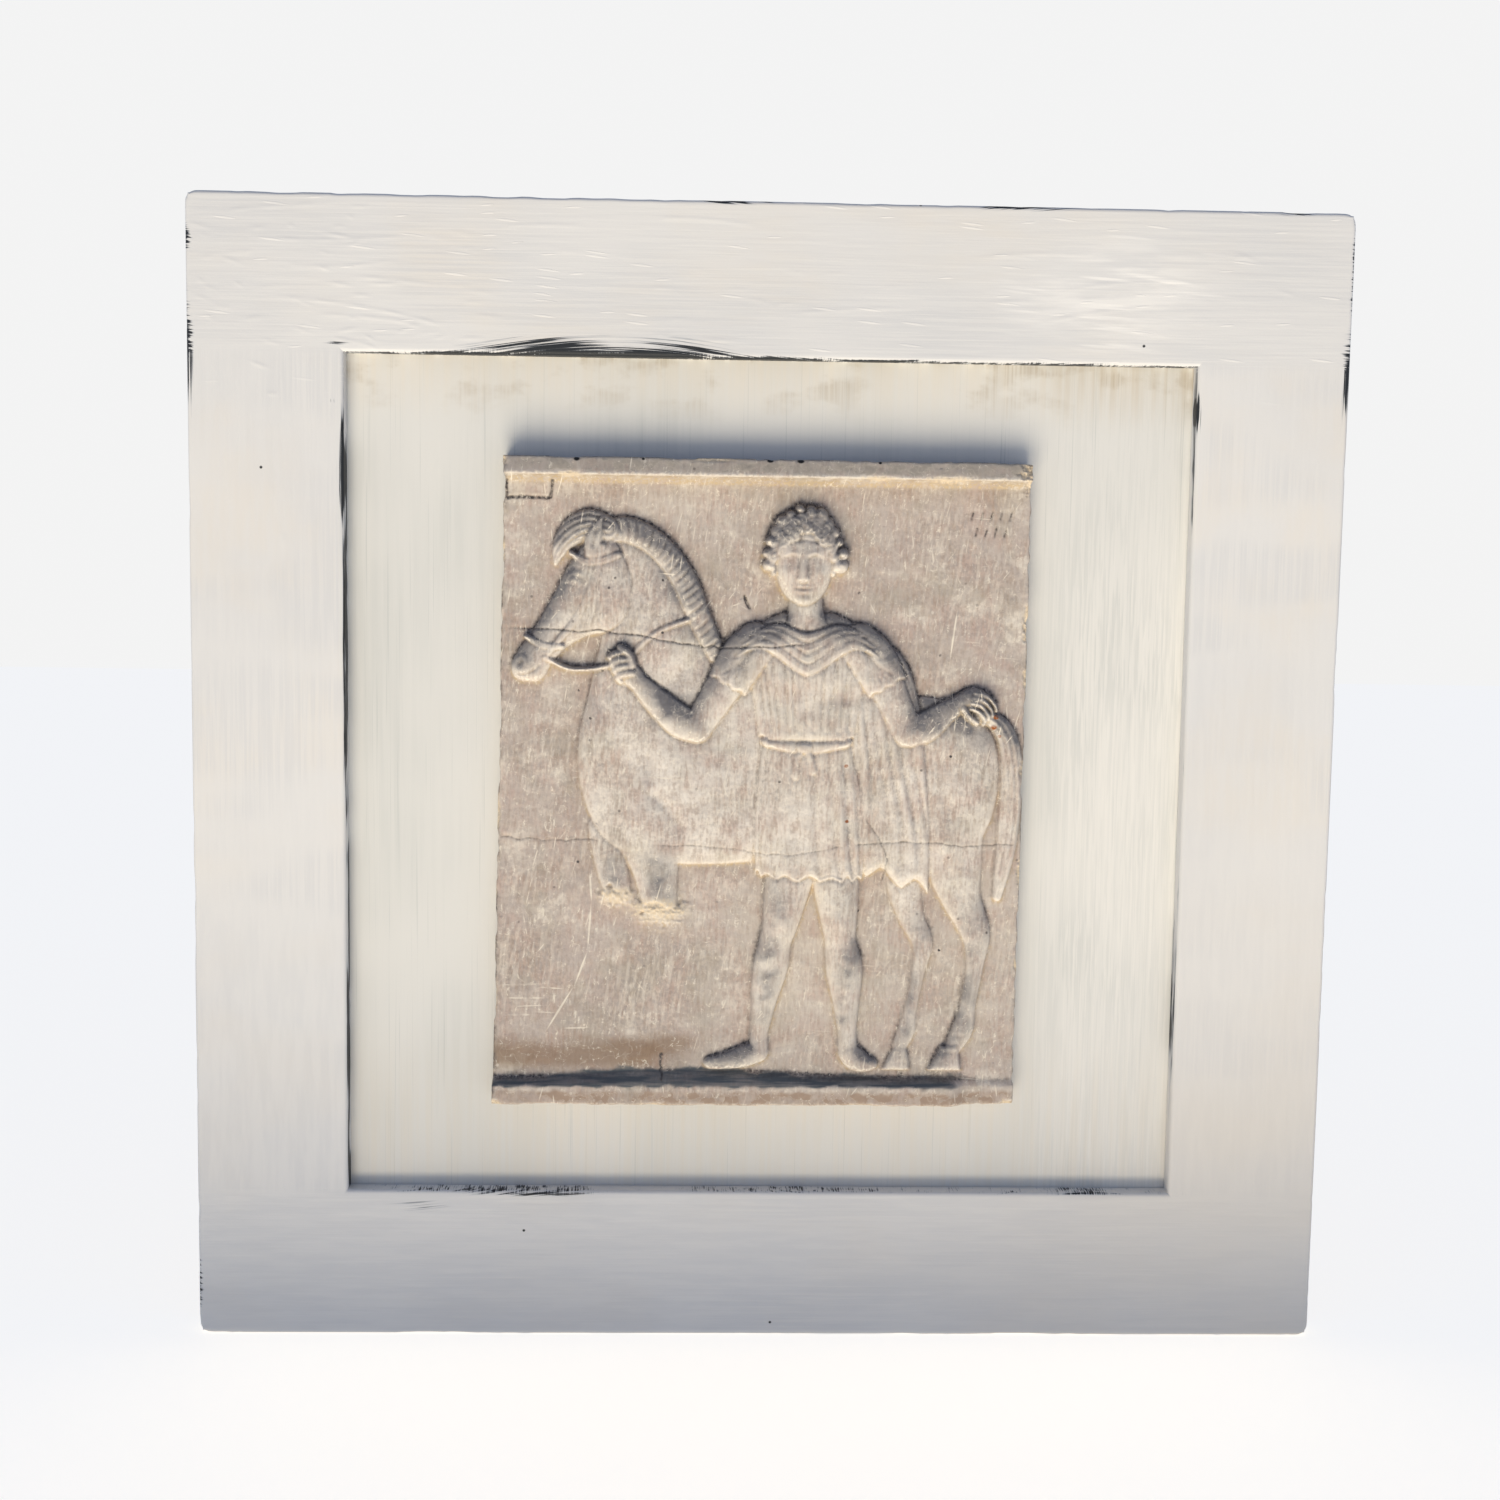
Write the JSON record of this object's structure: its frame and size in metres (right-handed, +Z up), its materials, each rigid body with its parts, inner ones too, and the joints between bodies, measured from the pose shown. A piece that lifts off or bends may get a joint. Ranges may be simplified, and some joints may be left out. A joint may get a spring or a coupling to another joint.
{
  "type": "plaster relief plaque",
  "caption": "Wall plaque: a plaster relief of a youth leading a horse, on a painted panel in a square mitred board frame.",
  "frame": {"origin": "middle of the flat back, where the plaque meets the wall", "axes": "+X to the viewer's right along the width, +Z up, the carved front faces -Y and the back faces +Y"},
  "size_m": [0.66, 0.0338, 0.66],
  "materials": {
    "plaster": "matt casting plaster toned grey and beige",
    "panel_paint": "cream chalk paint brushed upright over wood",
    "frame_paint": "off-white chalk paint worn through to a navy base coat"
  },
  "bodies": {
    "root": {"plaque": "plaster", "panel": "panel_paint", "frame_top": "frame_paint", "frame_bottom": "frame_paint", "frame_left": "frame_paint", "frame_right": "frame_paint"}
  },
  "joints": []
}
